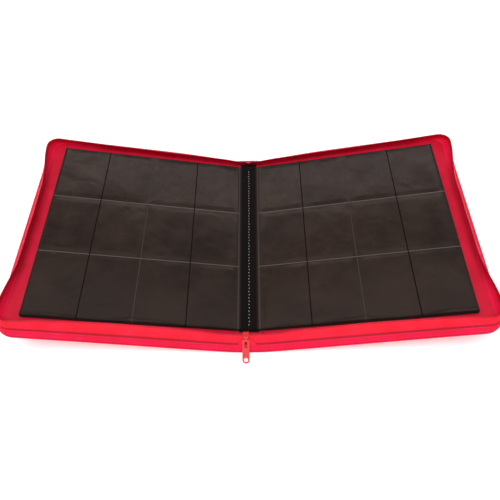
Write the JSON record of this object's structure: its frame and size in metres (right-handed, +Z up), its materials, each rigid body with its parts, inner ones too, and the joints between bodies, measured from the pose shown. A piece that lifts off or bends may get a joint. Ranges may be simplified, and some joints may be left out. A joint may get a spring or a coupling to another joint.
{
  "type": "trading card binder",
  "caption": "Zipped binder for trading cards, lying open, with black pocket leaves sewn to its spine and padded cloth covers.",
  "frame": {"origin": "middle of the spine's underside, on the table", "axes": "+Z up, +Y along the spine from the zip pull to the far end, +X to the right of someone who reads it"},
  "size_m": [0.6446, 0.3682, 0.0728],
  "materials": {
    "cover_fabric": "fine woven polyester over a smooth coating",
    "board": "pressed grey board",
    "lining": "satin woven lining",
    "zip_tape": "herringbone zip tape",
    "zip_coil": "nylon coil",
    "page_sheet": "embossed black film",
    "pocket_film": "clear glossy film over black",
    "spine_fabric": "matt black fabric",
    "thread": "twisted thread",
    "pull_enamel": "coral enamel on cast metal",
    "pin_steel": "drawn wire"
  },
  "bodies": {
    "spine": {"spine_skin": "cover_fabric", "spine_board": "board", "spine_lining": "spine_fabric", "page_binding": "spine_fabric", "binding_stitches": "thread", "near_gusset": "zip_tape", "zip_slider": "pull_enamel", "slider_pin": "pin_steel", "zip_end_stop": "pull_enamel"},
    "left_cover": {"left_cover_skin": "cover_fabric", "left_cover_board": "board", "left_cover_lining": "lining", "left_cover_rim": "cover_fabric", "left_zip_tape": "zip_tape", "left_zip_teeth": "zip_coil"},
    "left_leaf_01_body": {"left_leaf_01": "page_sheet", "left_pocket_films": "pocket_film"},
    "left_leaf_02_body": {"left_leaf_02": "page_sheet"},
    "left_leaf_03_body": {"left_leaf_03": "page_sheet"},
    "left_leaf_04_body": {"left_leaf_04": "page_sheet"},
    "left_leaf_05_body": {"left_leaf_05": "page_sheet"},
    "left_leaf_06_body": {"left_leaf_06": "page_sheet"},
    "left_leaf_07_body": {"left_leaf_07": "page_sheet"},
    "left_leaf_08_body": {"left_leaf_08": "page_sheet"},
    "left_leaf_09_body": {"left_leaf_09": "page_sheet"},
    "left_leaf_10_body": {"left_leaf_10": "page_sheet"},
    "right_cover": {"right_cover_skin": "cover_fabric", "right_cover_board": "board", "right_cover_lining": "lining", "right_cover_rim": "cover_fabric", "right_zip_tape": "zip_tape", "right_zip_teeth": "zip_coil"},
    "right_leaf_01_body": {"right_leaf_01": "page_sheet", "right_pocket_films": "pocket_film"},
    "right_leaf_02_body": {"right_leaf_02": "page_sheet"},
    "right_leaf_03_body": {"right_leaf_03": "page_sheet"},
    "right_leaf_04_body": {"right_leaf_04": "page_sheet"},
    "right_leaf_05_body": {"right_leaf_05": "page_sheet"},
    "right_leaf_06_body": {"right_leaf_06": "page_sheet"},
    "right_leaf_07_body": {"right_leaf_07": "page_sheet"},
    "right_leaf_08_body": {"right_leaf_08": "page_sheet"},
    "right_leaf_09_body": {"right_leaf_09": "page_sheet"},
    "right_leaf_10_body": {"right_leaf_10": "page_sheet"},
    "gusset_flap": {"far_gusset": "cover_fabric"},
    "pull": {"zip_pull": "pull_enamel"}
  },
  "joints": [
    {"name": "left_cover_fold", "type": "hinge", "parent": "spine", "child": "left_cover", "pos_m": [-0.0202, 0, 0], "axis": [0, 1, 0], "range_deg": [0, 80]},
    {"name": "left_leaf_10_follow", "type": "hinge", "parent": "spine", "child": "left_leaf_10_body", "pos_m": [-0.0083, 0, 0.0044], "axis": [0, 1, 0], "range_deg": [0, 80]},
    {"name": "left_leaf_09_follow", "type": "hinge", "parent": "spine", "child": "left_leaf_09_body", "pos_m": [-0.0076, 0, 0.00499], "axis": [0, 1, 0], "range_deg": [0, 80]},
    {"name": "left_leaf_08_follow", "type": "hinge", "parent": "spine", "child": "left_leaf_08_body", "pos_m": [-0.0069, 0, 0.00558], "axis": [0, 1, 0], "range_deg": [0, 80]},
    {"name": "left_leaf_07_follow", "type": "hinge", "parent": "spine", "child": "left_leaf_07_body", "pos_m": [-0.0062, 0, 0.00616], "axis": [0, 1, 0], "range_deg": [0, 80]},
    {"name": "left_leaf_06_follow", "type": "hinge", "parent": "spine", "child": "left_leaf_06_body", "pos_m": [-0.0055, 0, 0.00675], "axis": [0, 1, 0], "range_deg": [0, 80]},
    {"name": "left_leaf_05_follow", "type": "hinge", "parent": "spine", "child": "left_leaf_05_body", "pos_m": [-0.0048, 0, 0.00734], "axis": [0, 1, 0], "range_deg": [0, 80]},
    {"name": "left_leaf_04_follow", "type": "hinge", "parent": "spine", "child": "left_leaf_04_body", "pos_m": [-0.0041, 0, 0.00792], "axis": [0, 1, 0], "range_deg": [0, 80]},
    {"name": "left_leaf_03_follow", "type": "hinge", "parent": "spine", "child": "left_leaf_03_body", "pos_m": [-0.0034, 0, 0.00851], "axis": [0, 1, 0], "range_deg": [0, 80]},
    {"name": "left_leaf_02_follow", "type": "hinge", "parent": "spine", "child": "left_leaf_02_body", "pos_m": [-0.0027, 0, 0.0091], "axis": [0, 1, 0], "range_deg": [0, 80]},
    {"name": "right_cover_fold", "type": "hinge", "parent": "spine", "child": "right_cover", "pos_m": [0.0202, 0, 0], "axis": [0, -1, 0], "range_deg": [0, 80]},
    {"name": "right_leaf_10_follow", "type": "hinge", "parent": "spine", "child": "right_leaf_10_body", "pos_m": [0.0083, 0, 0.0044], "axis": [0, -1, 0], "range_deg": [0, 80]},
    {"name": "right_leaf_09_follow", "type": "hinge", "parent": "spine", "child": "right_leaf_09_body", "pos_m": [0.0076, 0, 0.00499], "axis": [0, -1, 0], "range_deg": [0, 80]},
    {"name": "right_leaf_08_follow", "type": "hinge", "parent": "spine", "child": "right_leaf_08_body", "pos_m": [0.0069, 0, 0.00558], "axis": [0, -1, 0], "range_deg": [0, 80]},
    {"name": "right_leaf_07_follow", "type": "hinge", "parent": "spine", "child": "right_leaf_07_body", "pos_m": [0.0062, 0, 0.00616], "axis": [0, -1, 0], "range_deg": [0, 80]},
    {"name": "right_leaf_06_follow", "type": "hinge", "parent": "spine", "child": "right_leaf_06_body", "pos_m": [0.0055, 0, 0.00675], "axis": [0, -1, 0], "range_deg": [0, 80]},
    {"name": "right_leaf_05_follow", "type": "hinge", "parent": "spine", "child": "right_leaf_05_body", "pos_m": [0.0048, 0, 0.00734], "axis": [0, -1, 0], "range_deg": [0, 80]},
    {"name": "right_leaf_04_follow", "type": "hinge", "parent": "spine", "child": "right_leaf_04_body", "pos_m": [0.0041, 0, 0.00792], "axis": [0, -1, 0], "range_deg": [0, 80]},
    {"name": "right_leaf_03_follow", "type": "hinge", "parent": "spine", "child": "right_leaf_03_body", "pos_m": [0.0034, 0, 0.00851], "axis": [0, -1, 0], "range_deg": [0, 80]},
    {"name": "right_leaf_02_follow", "type": "hinge", "parent": "spine", "child": "right_leaf_02_body", "pos_m": [0.0027, 0, 0.0091], "axis": [0, -1, 0], "range_deg": [0, 80]},
    {"name": "right_leaf_01_follow", "type": "hinge", "parent": "spine", "child": "right_leaf_01_body", "pos_m": [0.002, 0, 0.00969], "axis": [0, -1, 0], "range_deg": [0, 80]},
    {"name": "left_leaf_turn", "type": "hinge", "parent": "left_leaf_02_body", "child": "left_leaf_01_body", "pos_m": [-0.002, 0, 0.00969], "axis": [0, -1, 0], "range_deg": [-157, 0]},
    {"name": "far_gusset_fold", "type": "hinge", "parent": "spine", "child": "gusset_flap", "pos_m": [0, 0.173, 0.0017], "axis": [-1, 0, 0], "range_deg": [0, 40]},
    {"name": "pull_swing", "type": "hinge", "parent": "spine", "child": "pull", "pos_m": [-0.004, -0.16307, 0.0184], "axis": [-1, 0, 0], "range_deg": [0, 90]}
  ],
  "couplings": [
    {"joint": "left_leaf_10_follow", "follows": "left_cover_fold", "ratio": 1},
    {"joint": "left_leaf_09_follow", "follows": "left_cover_fold", "ratio": 1},
    {"joint": "left_leaf_08_follow", "follows": "left_cover_fold", "ratio": 1},
    {"joint": "left_leaf_07_follow", "follows": "left_cover_fold", "ratio": 1},
    {"joint": "left_leaf_06_follow", "follows": "left_cover_fold", "ratio": 1},
    {"joint": "left_leaf_05_follow", "follows": "left_cover_fold", "ratio": 1},
    {"joint": "left_leaf_04_follow", "follows": "left_cover_fold", "ratio": 1},
    {"joint": "left_leaf_03_follow", "follows": "left_cover_fold", "ratio": 1},
    {"joint": "left_leaf_02_follow", "follows": "left_cover_fold", "ratio": 1},
    {"joint": "right_leaf_10_follow", "follows": "right_cover_fold", "ratio": 1},
    {"joint": "right_leaf_09_follow", "follows": "right_cover_fold", "ratio": 1},
    {"joint": "right_leaf_08_follow", "follows": "right_cover_fold", "ratio": 1},
    {"joint": "right_leaf_07_follow", "follows": "right_cover_fold", "ratio": 1},
    {"joint": "right_leaf_06_follow", "follows": "right_cover_fold", "ratio": 1},
    {"joint": "right_leaf_05_follow", "follows": "right_cover_fold", "ratio": 1},
    {"joint": "right_leaf_04_follow", "follows": "right_cover_fold", "ratio": 1},
    {"joint": "right_leaf_03_follow", "follows": "right_cover_fold", "ratio": 1},
    {"joint": "right_leaf_02_follow", "follows": "right_cover_fold", "ratio": 1},
    {"joint": "right_leaf_01_follow", "follows": "right_cover_fold", "ratio": 1}
  ]
}
